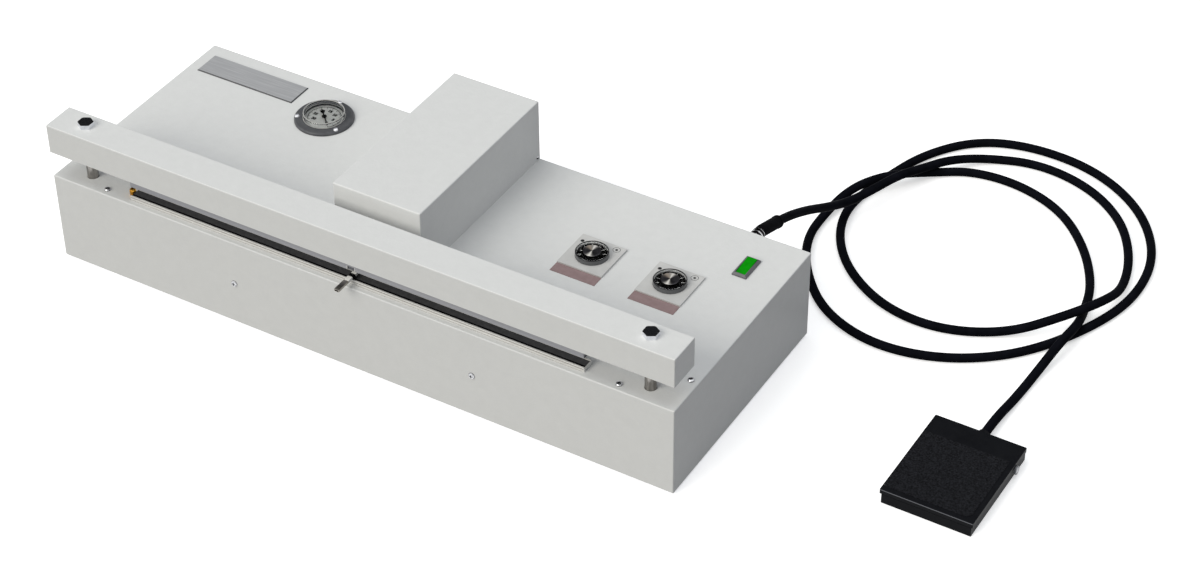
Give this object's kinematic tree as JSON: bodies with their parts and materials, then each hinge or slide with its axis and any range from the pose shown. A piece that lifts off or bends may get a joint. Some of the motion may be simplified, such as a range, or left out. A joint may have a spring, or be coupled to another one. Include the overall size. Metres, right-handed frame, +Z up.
{
  "type": "nozzle vacuum sealer",
  "caption": "Table-top nozzle vacuum sealer with a pressing bar over a heated jaw, timers, a vacuum gauge and a foot switch on a long cord.",
  "frame": {"origin": "on the table, under the middle of the case", "axes": "+X along the jaws to the right of the operator, +Y from the operator to the back, +Z up"},
  "size_m": [0.9469, 0.6661, 0.1688],
  "materials": {
    "case_paint": "satin, fine texture",
    "bar_paint": "satin, fine texture",
    "zinc_steel": "zinc plated",
    "bright_steel": "polished",
    "aluminium": "extruded, satin",
    "brass": "satin",
    "black_rubber": "matte",
    "silicone": "matte",
    "dark_film": "matte cloth",
    "insulator": "matte",
    "timer_grey": "matte",
    "dial_black": "gloss",
    "clear_plastic": "clear",
    "mauve_label": "matte",
    "plate_metal": "satin",
    "gauge_grey": "satin",
    "dial_face": "matte",
    "bezel_grey": "matte",
    "green_plastic": "gloss",
    "black_plastic": "matte",
    "pedal_black": "satin",
    "copper_winding": "enamelled wire",
    "cast_motor": "matte",
    "board_green": "matte"
  },
  "bodies": {
    "machine": {"base_pan": "zinc_steel", "top_cover": "case_paint", "nozzle_housing": "case_paint", "rubber_feet": "black_rubber", "cover_screws": "bright_steel", "name_plate": "plate_metal", "jaw_channel": "aluminium", "element_insulator": "insulator", "heating_element": "bright_steel", "ptfe_cover": "dark_film", "jaw_gasket": "black_rubber", "element_terminals": "brass", "guide_bushes": "zinc_steel", "jaw_solenoid": "copper_winding", "return_springs": "bright_steel", "nozzle_bracket": "zinc_steel", "nozzle_guides": "bright_steel", "vacuum_receiver": "aluminium", "nozzle_cylinder": "aluminium", "heat_timer_case": "timer_grey", "cool_timer_case": "timer_grey", "heat_timer_dial": "dial_black", "cool_timer_dial": "dial_black", "timer_labels": "mauve_label", "switch_bezel": "bezel_grey", "gauge_case": "gauge_grey", "gauge_dial": "dial_face", "gauge_lens": "clear_plastic", "gauge_screws": "bright_steel", "power_inlet": "black_plastic", "vacuum_pump": "cast_motor", "pump_motor": "cast_motor", "transformer": "copper_winding", "valve_block": "aluminium", "circuit_board": "board_green", "vacuum_hoses": "black_rubber", "cord_gland": "bright_steel", "cord_sleeve": "black_rubber", "foot_cord": "black_rubber", "pedal_base": "pedal_black", "pedal_pin": "bright_steel", "pedal_switch": "black_plastic", "pedal_spring": "bright_steel"},
    "pressing_bar": {"press_bar": "bar_paint", "pad_holder": "timer_grey", "silicone_pad": "silicone", "press_posts": "bright_steel", "bar_bolts": "zinc_steel", "crosshead": "zinc_steel", "plunger": "zinc_steel"},
    "nozzle_slide_unit": {"nozzle_tube": "bright_steel", "nozzle_carriage": "aluminium", "nozzle_piston": "bright_steel"},
    "heat_knob": {"heat_timer_knob": "clear_plastic"},
    "cool_knob": {"cool_timer_knob": "clear_plastic"},
    "rocker": {"power_rocker": "green_plastic"},
    "needle": {"gauge_needle": "dial_black"},
    "pedal_treadle": {"treadle": "pedal_black", "treadle_grip": "black_rubber"}
  },
  "joints": [
    {"name": "jaw_slide", "type": "slide", "parent": "machine", "child": "pressing_bar", "axis": [0, 0, -1], "range_m": [0, 0.0098], "stiffness_N_per_m": 2500, "springref_m": -0.03, "deforming": ["return_springs"]},
    {"name": "nozzle_slide", "type": "slide", "parent": "machine", "child": "nozzle_slide_unit", "axis": [0, 1, 0], "range_m": [0, 0.075]},
    {"name": "heat_knob_turn", "type": "hinge", "parent": "machine", "child": "heat_knob", "pos_m": [0.1718, 0.022, 0.105], "axis": [0, 0, 1], "range_deg": [-300, 0]},
    {"name": "cool_knob_turn", "type": "hinge", "parent": "machine", "child": "cool_knob", "pos_m": [0.2553, 0.022, 0.105], "axis": [0, 0, 1], "range_deg": [-300, 0]},
    {"name": "rocker_tilt", "type": "hinge", "parent": "machine", "child": "rocker", "pos_m": [0.3046, 0.079, 0.1015], "axis": [1, 0, 0], "range_deg": [-8.6, 0]},
    {"name": "needle_sweep", "type": "hinge", "parent": "machine", "child": "needle", "pos_m": [-0.172, 0.0789, 0.103], "axis": [0, 0, 1], "range_deg": [0, 268], "stiffness_Nm_per_rad": 0.0001},
    {"name": "treadle_rock", "type": "hinge", "parent": "machine", "child": "pedal_treadle", "pos_m": [0.5536, 0.0482, 0.008], "axis": [1, 0, 0], "range_deg": [0, 2.5], "stiffness_Nm_per_rad": 2, "springref_deg": -8.59, "deforming": ["pedal_spring"]}
  ],
  "couplings": [
    {"joint": "nozzle_slide", "follows": "jaw_slide", "ratio": 7.65}
  ]
}
